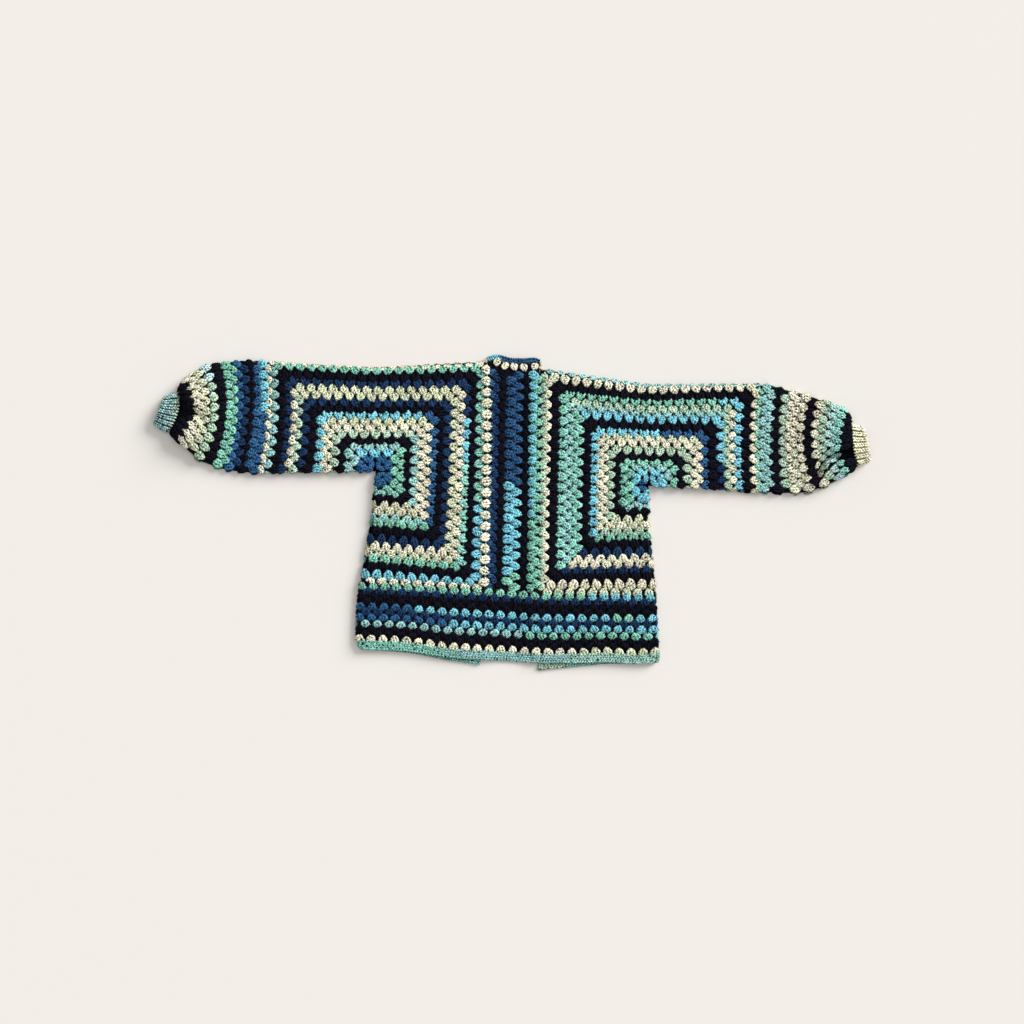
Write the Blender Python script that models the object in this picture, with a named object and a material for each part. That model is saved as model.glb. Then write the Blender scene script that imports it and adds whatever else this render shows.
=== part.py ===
"""A crocheted hexagon cardigan, laid flat with its back up.

Units: the tables are in millimetres and the meshes in metres. +X is the viewer's right,
+Y points from the hem to the neck and +Z is up, away from the surface that it lies on.
The origin is on that surface, under the middle of the garment's box.

Each half of the cardigan is one crocheted hexagon. Its middle is the underarm, and it is
folded into an L, so that one half is the back and the other half is the front. A panel
strip joins the two backs, and the sleeves, cuffs, hem rows and bands are worked on to them.
"""

import bpy
import bmesh
import numpy as np
from math import cos, exp, hypot, pi, radians, sin, sqrt

MM = 0.001

# ---- the cloth -----------------------------------------------------------------------
WALL = 4.0            # a treble cluster fabric in aran yarn
SEAM_GAP = 0.3        # between pieces that are sewn to each other
JOINT_GAP = 0.5       # between a hexagon and its sleeve, whose joint is curved
INNER_GAP = 0.8       # between the back layer and the front layer
FLAT = 2 * WALL + INNER_GAP
EDGE = 5.9            # half the height of a rolled fold
FOLD_RISE = 2 * EDGE - FLAT
FOLD_FADE = 20.0      # a fold's rise has died away this far in
FOLD_ANGLES = (0.0, 40.0, 90.0)
WAVE = 0.9            # the back layer doesn't lie quite flat

# ---- the hexagons: corner points in plan, on the back layer and on the front -----------
ROUNDS = 17
ROUND_STEPS = (1, 3, 6, 9, 12, 15)
HALF_STEPS = 6        # steps from a fold to the first corner of a round
SIDE_STEPS = 6        # steps along a whole side of a round

LEFT = {
    "underarm": (-266.9, 79.2), "sleeve_fold": (-497.1, 75.5), "sleeve_top": (-481.5, 293.9),
    "shoulder": (-266.9, 281.0), "neck": (-48.6, 293.0), "middle": (-48.6, 79.2),
    "middle_low": (-48.6, -150.2), "side_fold": (-296.2, -137.9),
    "front_x": -72.0, "joint_bow": 10.3, "side_bow": 7.0,
}
RIGHT = {
    "underarm": (267.7, 50.9), "sleeve_fold": (479.9, 40.4), "sleeve_top": (483.8, 249.0),
    "shoulder": (267.7, 247.5), "neck": (54.5, 279.0), "middle": (54.5, 50.9),
    "middle_low": (54.5, -158.6), "side_fold": (279.0, -160.3),
    "front_x": 60.6, "joint_bow": -6.0, "side_bow": -4.0,
}

# ---- the sleeves: a row for each section, from the hexagon to the cuff ------------------
# top x, top y, bottom x, bottom y, how far its middle bows along the sleeve, height, puff
SLEEVE_LEFT = (
    (-481.5, 293.9, -497.1, 75.5, 10.3, 8.8, 0.0),
    (-503.9, 294.5, -523.4, 77.4, 10.7, 10.0, 0.1),
    (-531.2, 294.5, -547.8, 80.5, 12.3, 13.0, 0.3),
    (-558.5, 291.9, -575.1, 86.8, 17.0, 18.0, 0.6),
    (-588.7, 286.1, -602.4, 97.1, 20.0, 25.0, 0.9),
    (-608.2, 278.9, -621.9, 110.8, 20.0, 31.0, 1.0),
    (-627.7, 267.7, -641.4, 128.3, 23.0, 35.0, 1.0),
    (-640.4, 255.6, -656.0, 140.0, 22.0, 36.0, 1.0),
    (-648.2, 243.4, -662.8, 149.8, 19.0, 33.0, 1.0),
    (-645.6, 233.2, -667.3, 157.4, 8.0, 25.0, 1.0),
)
SLEEVE_RIGHT = (
    (483.8, 249.0, 479.9, 40.4, -6.0, 8.8, 0.0),
    (507.2, 246.3, 503.3, 38.0, -7.0, 9.5, 0.1),
    (530.6, 238.9, 530.6, 36.7, -8.0, 11.5, 0.3),
    (556.0, 232.6, 561.8, 37.0, -16.0, 15.0, 0.6),
    (577.4, 226.8, 585.2, 40.6, -17.0, 20.0, 0.9),
    (600.8, 220.2, 608.6, 49.3, -18.0, 26.0, 1.0),
    (624.2, 212.2, 632.0, 61.0, -19.0, 32.0, 1.0),
    (643.7, 202.4, 649.5, 70.8, -18.0, 36.0, 1.0),
    (657.3, 188.8, 664.1, 79.6, -12.0, 36.0, 1.0),
    (661.6, 168.5, 673.5, 93.8, -5.0, 27.0, 1.0),
)
# start x, start y, end x, end y, width, depth (a hollow), or height where depth is negative
CREASES = (
    (-638.0, 187.0, -610.0, 181.0, 13.0, 6.0),
    (655.0, 114.0, 622.0, 106.0, 9.0, 15.0),
    (622.0, 106.0, 626.0, 84.0, 8.0, 7.0),
    (654.0, 93.0, 640.0, 86.0, 10.0, -4.0),
)
SLEEVE_STEPS = 15     # steps across a sleeve's back, from fold to fold

# ---- the cuffs: top x, top y, bottom x, bottom y, bow, height ---------------------------
CUFF_LEFT = (
    (-646.7, 232.7, -668.6, 156.9, 8.0, 23.0),
    (-657.5, 229.8, -678.4, 161.2, 6.0, 22.0),
    (-668.5, 226.8, -689.2, 166.8, 4.0, 21.0),
    (-677.5, 223.4, -697.5, 174.0, 0.0, 19.0),
)
CUFF_RIGHT = (
    (662.2, 168.2, 673.9, 93.8, -5.0, 24.0),
    (671.0, 166.4, 682.6, 95.6, -3.0, 22.5),
    (679.0, 164.6, 691.0, 98.2, 0.0, 21.0),
    (685.6, 161.9, 697.5, 101.6, 1.5, 20.0),
)
RIBS = 16
RIB_STEPS = 6         # points round the cuff for each rib
RIB_HEIGHT = 1.3
PUFF_POWER = 2.3      # how full the rounded top of a puffed section is
SOLE_POWER = 7.0      # how flat it lies on its underside
EDGE_SHARE = 0.42     # height of a puffed section's side edge, as a share of its height

# ---- body rows below the hexagons: x, top y, hem y of the back, hem y of the front ------
BORDER = (
    (-303.0, -137.8, -267.0, -267.0),
    (-226.0, -141.0, -269.3, -271.5),
    (-187.0, -143.0, -273.2, -276.0),
    (-126.6, -146.2, -283.3, -288.0),
    (-72.0, -149.0, -286.8, -295.4),
    (-48.6, -150.2, -287.6, -295.4),
    (47.0, -158.0, -293.9, -307.5),
    (54.5, -158.6, -293.9, -307.5),
    (140.6, -159.7, -293.9, -299.0),
    (181.5, -159.9, -291.9, -295.0),
    (244.0, -160.1, -295.8, -296.5),
    (290.0, -160.3, -292.0, -292.0),
)
HEM_BAND = 18.0
BAND_SHARE = 0.13     # the band's share of the way from the hexagons to the hem
# share of the way from the hexagons to the hem, x of the left fold, x of the right fold
SIDE_FOLDS = (
    (0.0, -296.2, 279.0),
    (0.4, -300.1, 283.4),
    (0.85, -302.6, 287.3),
    (0.95, -300.0, 287.5),
    (1.0, -292.5, 282.0),
)
BORDER_STEPS = 4
BAND_STEPS = 3
FRONT_STEPS = 5
BACK_STEPS = 6        # on each side of the stretch between the fronts
SAG_STEPS = 3         # across each slope down to the surface

# ---- the strip down the middle of the back ---------------------------------------------
PANEL_TOP = ((-48.3, 295.0), (-29.0, 298.0), (-13.0, 292.5), (20.0, 290.3), (44.0, 292.0), (54.2, 294.4))
PANEL_LEFT = LEFT["neck"][0] + SEAM_GAP
PANEL_RIGHT = RIGHT["neck"][0] - SEAM_GAP
PANEL_ACROSS = 14
PANEL_DOWN = 10
# between the two fronts the back sinks to the surface: x where it starts, is down, ends
SAG_LEFT = (-58.0, -22.0)
SAG_RIGHT = (18.0, 46.0)
SAG_NECK = (225.0, 280.0)

# ---- the band up the fronts and round the neck: x, y, height of its underside -----------
BAND_WIDTH = 9.0
BAND_PATH = (
    (-67.2, -295.0, 0.0), (-67.2, -100.0, 0.0), (-67.2, 100.0, 0.0), (-67.2, 240.0, 0.0),
    (-66.6, 262.0, 0.0), (-62.0, 279.0, 0.0), (-54.5, 291.0, 0.0), (-44.0, 300.0, 0.0),
    (-32.0, 303.6, 1.8), (-20.0, 301.2, 4.0), (-8.0, 297.2, 4.8), (5.0, 296.0, 4.8),
    (20.0, 295.4, 4.4), (32.0, 296.4, 2.2), (44.0, 297.6, 0.2), (52.0, 294.6, 0.0),
    (55.6, 286.0, 0.0), (55.8, 272.0, 0.0), (55.8, 240.0, 0.0), (55.8, 100.0, 0.0),
    (55.8, -100.0, 0.0), (55.8, -307.2, 0.0),
)
BAND_SMOOTH = 3       # points of the band for each point of its path

COLOURS = {           # colour, roughness
    "hexagon_left": ((0.16, 0.33, 0.42), 0.9), "hexagon_right": ((0.29, 0.52, 0.50), 0.9),
    "centre_back_panel": ((0.03, 0.09, 0.22), 0.9), "body_border": ((0.05, 0.16, 0.30), 0.9),
    "hem_band": ((0.32, 0.60, 0.56), 0.9), "sleeve_left": ((0.12, 0.27, 0.34), 0.9),
    "sleeve_right": ((0.55, 0.62, 0.48), 0.9), "cuff_left": ((0.40, 0.60, 0.56), 0.9),
    "cuff_right": ((0.71, 0.68, 0.46), 0.9), "front_band": ((0.06, 0.22, 0.40), 0.9),
}


# ---- small helpers ---------------------------------------------------------------------
def mix(start, end, share):
    return start + (end - start) * share


def smooth(low, high, value):
    """0 below low, 1 above high, and an even S between them."""
    share = min(max((value - low) / (high - low), 0.0), 1.0)
    return share * share * (3.0 - 2.0 * share)


def along(table, column, value):
    """Reads a column of a table at a value of its first column."""
    return float(np.interp(value, [row[0] for row in table], [row[column] for row in table]))


def lift(x, y):
    """Height of the back layer's underside: on the front layer, or down between the fronts."""
    down = smooth(*SAG_LEFT, x) * (1.0 - smooth(*SAG_RIGHT, x))
    down *= 1.0 - smooth(*SAG_NECK, y)
    return (WALL + INNER_GAP) * (1.0 - down)


def wave(x, y):
    swell = sin(x / 41.0 + y / 67.0) * sin(y / 53.0 - x / 97.0)
    return WAVE * (0.6 + 0.6 * swell) * lift(x, y) / (WALL + INNER_GAP)


def fold_rise(inward):
    return FOLD_RISE * exp(-max(inward - EDGE, 0.0) / FOLD_FADE)


def roundness(inward):
    """How far the cloth's surface has left a fold's middle height, this far in from it."""
    out = min(max((EDGE - inward) / EDGE, 0.0), 1.0)
    return sqrt(1.0 - out * out)


def back_height(x, y, folds):
    """Outer surface of the back layer; folds are the distances to the edges near it."""
    top = lift(x, y) + WALL + wave(x, y) + max(fold_rise(inward) for inward in folds)
    return EDGE + (top - EDGE) * roundness(min(folds))


def front_height(folds):
    return EDGE * (1.0 - roundness(min(folds)))


def fold_samples(length, steps):
    """Distances from a fold: close together round it, then even."""
    near = [EDGE * (1.0 - cos(radians(angle))) for angle in FOLD_ANGLES]
    return near + [mix(EDGE, length, (n + 1) / steps) for n in range(steps)]


# ---- shells ----------------------------------------------------------------------------
def outward(grid, loop):
    """Unit normals of a grid of points; in a flat stretch they are exactly upright."""
    down = np.gradient(grid, axis=0)
    if loop:
        across = np.roll(grid, -1, axis=1) - np.roll(grid, 1, axis=1)
    else:
        across = np.gradient(grid, axis=1)
    normal = np.cross(across, down)
    normal /= np.linalg.norm(normal, axis=2, keepdims=True)
    flat = np.abs(normal[:, :, 2]) > 0.96
    normal[flat] = np.round(normal[flat])
    return normal


def squared(normals, top, low):
    """Turns the normals of an edge square to it; the edge runs in plan from low to top."""
    across = np.array((top[1] - low[1], low[0] - top[0], 0.0))
    across /= np.linalg.norm(across)
    flat = normals - np.outer(normals @ across, across)
    return flat / np.linalg.norm(flat, axis=1, keepdims=True)


def solid(name, outer, inner, loop, pole=None):
    """Makes one closed wall between two grids of points that run row by row."""
    rows, columns = outer.shape[:2]
    mesh = bmesh.new()
    skins = []
    for grid in (outer, inner):
        skins.append([[mesh.verts.new(point * MM) for point in row] for row in grid])
    spans = range(columns if loop else columns - 1)
    for skin in skins:
        for i in range(rows - 1):
            for j in spans:
                k = (j + 1) % columns
                mesh.faces.new((skin[i][j], skin[i][k], skin[i + 1][k], skin[i + 1][j]))
    ends = [rows - 1] if pole is not None else [0, rows - 1]
    for i in ends:
        for j in spans:
            k = (j + 1) % columns
            mesh.faces.new((skins[0][i][j], skins[0][i][k], skins[1][i][k], skins[1][i][j]))
    if pole is not None:
        for skin, point in zip(skins, pole):
            tip = mesh.verts.new(np.array(point) * MM)
            for j in spans:
                mesh.faces.new((skin[0][j], skin[0][(j + 1) % columns], tip))
    if not loop:
        for j in (0, columns - 1):
            for i in range(rows - 1):
                mesh.faces.new((skins[0][i][j], skins[0][i + 1][j], skins[1][i + 1][j], skins[1][i][j]))
    bmesh.ops.recalc_face_normals(mesh, faces=mesh.faces)
    data = bpy.data.meshes.new(name)
    mesh.to_mesh(data)
    mesh.free()
    data.shade_smooth()
    data.set_sharp_from_angle(angle=radians(50))
    data.materials.append(yarn(name))
    made = bpy.data.objects.new(name, data)
    garment.objects.link(made)
    return made


def yarn(name):
    colour, rough = COLOURS[name]
    material = bpy.data.materials.new(name)
    material.use_nodes = True
    shader = material.node_tree.nodes["Principled BSDF"]
    shader.inputs["Base Color"].default_value = (*colour, 1.0)
    shader.inputs["Roughness"].default_value = rough
    shader.inputs["Metallic"].default_value = 0.0
    return material


# ---- the two hexagons ------------------------------------------------------------------
def hexagon_plan(corner, a, b, front):
    """Plan point of a hexagon: a is -1 at the sleeve and 1 at the middle, b is 1 at the top."""
    inner = corner["front_x"] if front else corner["middle"][0]
    under = corner["underarm"]
    if b >= 0.0:
        if a <= 0.0:
            low = [mix(under[n], corner["sleeve_fold"][n], -a) for n in (0, 1)]
            high = [mix(corner["shoulder"][n], corner["sleeve_top"][n], -a) for n in (0, 1)]
            bow = corner["joint_bow"] * -a * 4.0 * b * (1.0 - b)
        else:
            low = [mix(under[0], inner, a), mix(under[1], corner["middle"][1], a)]
            high = [mix(corner["shoulder"][0], inner, a), mix(corner["shoulder"][1], corner["neck"][1], a)]
            bow = 0.0
        return mix(low[0], high[0], b) + bow, mix(low[1], high[1], b)
    x = mix(mix(under[0], corner["side_fold"][0], -b), inner, a)
    x += corner["side_bow"] * 4.0 * -b * (1.0 + b) * (1.0 - a)
    low_y = along(BORDER, 1, x)
    return x, mix(under[1], low_y, -b)


def hexagon(name, corner):
    """One hexagon: rounds of points about the underarm, over the back and under the front."""
    width = abs(corner["middle"][0] - corner["underarm"][0])
    height = corner["shoulder"][1] - corner["underarm"][1]
    turn = 1.0 if corner["middle"][0] > corner["underarm"][0] else -1.0
    last = [1.0 - EDGE * (1.0 - cos(radians(angle))) / height for angle in reversed(FOLD_ANGLES)]
    shares = [step / ROUNDS for step in ROUND_STEPS] + last

    def surface(a, b, front):
        x, y = hexagon_plan(corner, a, b, front)
        if b >= 0.0:
            fold = b * height if a <= 0.0 else hypot(a * width, b * height)
        else:
            fold = a * width
        folds = (fold, (1.0 - b) * height)
        if front:
            z = min(front_height(folds), EDGE - SEAM_GAP / 2 if b == 1.0 else EDGE)
        else:
            z = max(back_height(x, y, folds), EDGE + SEAM_GAP / 2 if b == 1.0 else 0.0)
        return (x, y, z)

    grid = []
    for share in shares:
        half_up = [inward / height for inward in fold_samples(share * height, HALF_STEPS)]
        half_in = [inward / width for inward in fold_samples(share * width, HALF_STEPS)]
        back = [(-share, b) for b in half_up]
        back += [(mix(-share, share, n / SIDE_STEPS), share) for n in range(1, SIDE_STEPS)]
        back += [(share, mix(share, -share, n / SIDE_STEPS)) for n in range(SIDE_STEPS + 1)]
        back += [(a, -share) for a in reversed(half_in[:-1])]
        path = [(a, b, False) for a, b in back]
        path += [(a, b, True) for a, b in reversed(back[1:-1])]
        grid.append([surface(*place) for place in path])
    outer = np.array(grid)
    normal = outward(outer, True) * turn
    edges = ((0, -1.0, "sleeve_top", "sleeve_fold"), (0, 1.0, "neck", "middle"),
             (1, -1.0, "middle_low", "side_fold"))
    for axis, end, top, low in edges:
        edge = [j for j, place in enumerate(path) if place[axis] == end]
        normal[-1, edge] = squared(normal[-1, edge], corner[top], corner[low])
    seam = [j for j, place in enumerate(path) if place[1] == 1.0]
    normal[-1, seam] = (0.0, 1.0, 0.0)
    inner = outer - WALL * normal
    middle = (*corner["underarm"], EDGE)
    reach = WALL / sqrt(2.0)
    pole = (middle, (middle[0] + turn * reach, middle[1] + reach, EDGE))
    return solid(name, outer, inner, True, pole)


# ---- sleeves and cuffs -----------------------------------------------------------------
def crease_depth(x, y):
    """Depth of the large folds of the sleeves at a plan point."""
    depth = 0.0
    for x0, y0, x1, y1, width, deep in CREASES:
        length2 = (x1 - x0) ** 2 + (y1 - y0) ** 2
        share = min(max(((x - x0) * (x1 - x0) + (y - y0) * (y1 - y0)) / length2, 0.0), 1.0)
        away = hypot(x - mix(x0, x1, share), y - mix(y0, y1, share))
        depth += deep * exp(-((away / width) ** 2))
    return depth


def puffed(height, share):
    """Top and underside of a puffed section, share of the way across it."""
    across = abs(2.0 * share - 1.0)
    edge = EDGE_SHARE * height
    top = edge + (height - edge) * (1.0 - across ** PUFF_POWER) ** (1.0 / PUFF_POWER)
    sole = edge * (1.0 - (1.0 - across ** SOLE_POWER) ** (1.0 / SOLE_POWER))
    return top, sole


def section_point(row, share, front):
    """A point of a sleeve section, share of the way up its back or its front layer."""
    top_x, top_y, low_x, low_y, bow, height, puff = row
    x = mix(low_x, top_x, share) + bow * 4.0 * share * (1.0 - share)
    y = mix(low_y, top_y, share)
    reach = hypot(top_x - low_x, top_y - low_y)
    folds = (share * reach, (1.0 - share) * reach)
    full, sole = puffed(height, share)
    if front:
        return (x, y, mix(front_height(folds), sole, puff))
    full -= crease_depth(x, y) * roundness(min(folds) / 3.0)
    return (x, y, mix(back_height(x, y, folds), full, puff))


def shares_across(steps):
    return [0.5 - 0.5 * cos(pi * n / steps) for n in range(steps + 1)]


def sleeve(name, table, away):
    """A sleeve: sections from the hexagon to the cuff; away is the direction of the cuff."""
    shares = shares_across(SLEEVE_STEPS)
    grid = []
    for row in table:
        back = [section_point(row, share, False) for share in shares]
        front = [section_point(row, share, True) for share in reversed(shares[1:-1])]
        grid.append(back + front)
    outer = np.array(grid)
    outer[0, :, 0] += away * JOINT_GAP
    normal = outward(outer, True)
    for end in (0, -1):
        normal[end] = squared(normal[end], table[end][0:2], table[end][2:4])
    inner = outer + WALL * normal * away
    return solid(name, outer, inner, True)


def cuff(name, table, away):
    """A ribbed cuff: ribs stand on the wall's outside, and its inside is plain."""
    count = RIBS * RIB_STEPS
    grid = []
    for top_x, top_y, low_x, low_y, bow, height in table:
        row = []
        for n in range(count):
            angle = 2.0 * pi * n / count
            share = 0.5 - 0.5 * cos(angle)
            top, sole = puffed(height, share)
            x = mix(low_x, top_x, share) + bow * 4.0 * share * (1.0 - share)
            row.append((x, mix(low_y, top_y, share), top if angle <= pi else sole))
        grid.append(row)
    plain = np.array(grid)
    normal = -outward(plain, True) * away
    for end in (0, -1):
        normal[end] = squared(normal[end], table[end][0:2], table[end][2:4])
    rib = np.array([RIB_HEIGHT * (0.5 - 0.5 * cos(2.0 * pi * n / RIB_STEPS)) for n in range(count)])
    outer = plain + normal * rib[None, :, None]
    outer[:, :, 2] = np.maximum(outer[:, :, 2], 0.0)
    inner = plain - (WALL - RIB_HEIGHT) * normal
    return solid(name, outer, inner, True)


# ---- rows round the body ---------------------------------------------------------------
def girth(depth, hem_share):
    """One row of points round the body, from the left front edge to the right front edge.

    depth is the share of the way from the hexagons to the hem's band, and hem_share goes
    on from there through the band."""
    whole = depth * (1.0 - BAND_SHARE) + hem_share * BAND_SHARE
    left = along(SIDE_FOLDS, 1, whole)
    right = along(SIDE_FOLDS, 2, whole)
    near = fold_samples(LEFT["front_x"] - left, FRONT_STEPS)
    far = fold_samples(right - RIGHT["front_x"], FRONT_STEPS)
    turned = near[1:len(FOLD_ANGLES)]
    spread = [mix(left + EDGE, SAG_LEFT[0], n / BACK_STEPS) for n in range(1, BACK_STEPS)]
    spread += [mix(*SAG_LEFT, n / SAG_STEPS) for n in range(SAG_STEPS + 1)]
    spread += [mix(*SAG_RIGHT, n / SAG_STEPS) for n in range(SAG_STEPS + 1)]
    spread += [mix(RIGHT["middle"][0], right - EDGE, n / BACK_STEPS) for n in range(BACK_STEPS)]
    row = [(left + inward, True) for inward in reversed(near)]
    row += [(left + inward, False) for inward in turned]
    row += [(x, False) for x in spread]
    row += [(right - inward, False) for inward in reversed(turned)]
    row += [(right - inward, True) for inward in far]
    points = []
    for x, front in row:
        folds = (x - left, right - x)
        hem = along(BORDER, 3 if front else 2, x)
        top = along(BORDER, 1, x) - SEAM_GAP
        y = mix(top, hem + HEM_BAND, depth)
        if hem_share > 0.0:
            y = mix(hem + HEM_BAND - SEAM_GAP, hem, hem_share)
        z = front_height(folds) if front else back_height(x, y, folds)
        points.append((x, y, z))
    return points


def girth_piece(name, rows):
    outer = np.array(rows)
    inward = outward(outer, False)
    for end in (0, -1):
        inward[end] = squared(inward[end], (1.0, 0.0), (0.0, 0.0))
    return solid(name, outer, outer + WALL * inward, False)


def body_border():
    return girth_piece("body_border", [girth(n / BORDER_STEPS, 0.0) for n in range(BORDER_STEPS + 1)])


def hem_band():
    shares = [max(n / BAND_STEPS, 0.001) for n in range(BAND_STEPS + 1)]
    return girth_piece("hem_band", [girth(1.0, share) for share in shares])


def centre_back_panel():
    outer = []
    for i in range(PANEL_DOWN + 1):
        row = []
        for j in range(PANEL_ACROSS + 1):
            x = mix(PANEL_LEFT, PANEL_RIGHT, j / PANEL_ACROSS)
            y = mix(along(PANEL_TOP, 1, x), along(BORDER, 1, x), i / PANEL_DOWN)
            row.append((x, y, lift(x, y) + WALL + wave(x, y)))
        outer.append(row)
    outer = np.array(outer)
    return solid("centre_back_panel", outer, outer - (0.0, 0.0, WALL), False)


def smooth_path(points, steps):
    """A smooth curve through all the points of a path, each column treated alike."""
    path = np.array(points)
    padded = np.vstack((2 * path[0] - path[1], path, 2 * path[-1] - path[-2]))
    curve = []
    for before, start, end, after in zip(padded, padded[1:], padded[2:], padded[3:]):
        for n in range(steps):
            t = n / steps
            pull_in, pull_out = (end - before) / 2, (after - start) / 2
            bend = 2 * start - 2 * end + pull_in + pull_out
            turn = 3 * end - 3 * start - 2 * pull_in - pull_out
            curve.append(((bend * t + turn) * t + pull_in) * t + start)
    return np.array(curve + [path[-1]])


def front_band():
    line = smooth_path(BAND_PATH, BAND_SMOOTH)
    line[:, 2] = np.maximum(line[:, 2], 0.0)
    heading = np.gradient(line[:, :2], axis=0)
    heading /= np.linalg.norm(heading, axis=1, keepdims=True)
    side = np.stack((-heading[:, 1], heading[:, 0], np.zeros(len(line))), axis=1)
    half = BAND_WIDTH / 2
    lower = np.stack((line - side * half, line, line + side * half), axis=1)
    return solid("front_band", lower + (0.0, 0.0, WALL), lower, False)


# ---- the garment -----------------------------------------------------------------------
for thing in list(bpy.data.objects):
    bpy.data.objects.remove(thing, do_unlink=True)
garment = bpy.data.collections.new("crochet_cardigan")
bpy.context.scene.collection.children.link(garment)

hexagon("hexagon_left", LEFT)
hexagon("hexagon_right", RIGHT)
centre_back_panel()
body_border()
hem_band()
sleeve("sleeve_left", SLEEVE_LEFT, -1.0)
sleeve("sleeve_right", SLEEVE_RIGHT, 1.0)
cuff("cuff_left", CUFF_LEFT, -1.0)
cuff("cuff_right", CUFF_RIGHT, 1.0)
front_band()
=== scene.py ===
# %% [markdown]
# # A crocheted hexagon cardigan, laid flat
# The garment is two crocheted hexagons, each folded in an L round the underarm, with a strip
# between them down the back, rows round the body below them, and sleeves, cuffs and bands
# worked on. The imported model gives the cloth's walls. This script works the stitches on to
# them, a cluster of trebles at a time, in the order in which a maker would crochet them.

# %% Load the frame
import bpy
import bmesh
import numpy as np
from functools import partial
from math import cos, hypot, pi, radians, sin
from mathutils import Matrix, Vector
from mathutils.bvhtree import BVHTree


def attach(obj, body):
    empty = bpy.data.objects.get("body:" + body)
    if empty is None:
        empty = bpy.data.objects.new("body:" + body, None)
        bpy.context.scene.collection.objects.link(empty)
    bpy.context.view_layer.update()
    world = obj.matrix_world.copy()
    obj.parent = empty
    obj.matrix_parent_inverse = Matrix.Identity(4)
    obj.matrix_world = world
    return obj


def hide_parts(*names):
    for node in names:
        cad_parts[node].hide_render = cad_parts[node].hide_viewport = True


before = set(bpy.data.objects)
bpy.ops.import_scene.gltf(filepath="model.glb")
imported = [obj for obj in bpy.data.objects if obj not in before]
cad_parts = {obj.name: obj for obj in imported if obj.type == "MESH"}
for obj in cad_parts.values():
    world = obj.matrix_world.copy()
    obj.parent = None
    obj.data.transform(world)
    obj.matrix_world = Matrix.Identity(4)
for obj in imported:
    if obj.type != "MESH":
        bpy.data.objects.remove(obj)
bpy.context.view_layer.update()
MM = 0.001

# %% [markdown]
# ## Yarn shades
# The yarn changes colour as it is worked, through a handful of soft blues, greens and creams,
# with a black-blue between the groups. One letter stands for each shade, so that a row of
# rounds can be written as a word. The colours are linear values, as Blender's shaders use.

# %% Shades of the yarn
SHADES = {
    "K": (.0058, .0055, .0105),  # ink
    "N": (.012, .032, .082),     # navy
    "B": (.023, .07, .155),      # navy on its way to denim
    "D": (.028, .095, .205),     # denim
    "S": (.165, .47, .56),       # sky
    "A": (.26, .48, .46),        # aqua
    "T": (.23, .52, .43),        # aqua on its way to sea green
    "G": (.19, .46, .35),        # sea green
    "E": (.37, .51, .38),        # sage
    "H": (.31, .52, .45),        # aqua on its way to sage
    "M": (.53, .57, .39),        # cream that still leans to sage
    "O": (.53, .52, .365),       # duller cream
    "C": (.65, .635, .48),       # cream
    "P": (.4, .6, .58),          # pale aqua
    "W": (.86, .84, .59),        # the palest cream, of the right cuff
}
print("shades:", "".join(SHADES))

# %% [markdown]
# ## Where the rows lie
# Each hexagon is a set of square rounds about the underarm. A round is a square in a plain
# chart whose sides run from -1 to 1, and the chart is stretched over the garment's corner
# points, which are the same as the solids'. The front half is the same, folded underneath.

# %% The hexagons' corner points, in millimetres
def even(step, count):
    """Rounds that lie equally far apart."""
    return tuple(round(step * n, 3) for n in range(1, count + 1))


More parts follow.
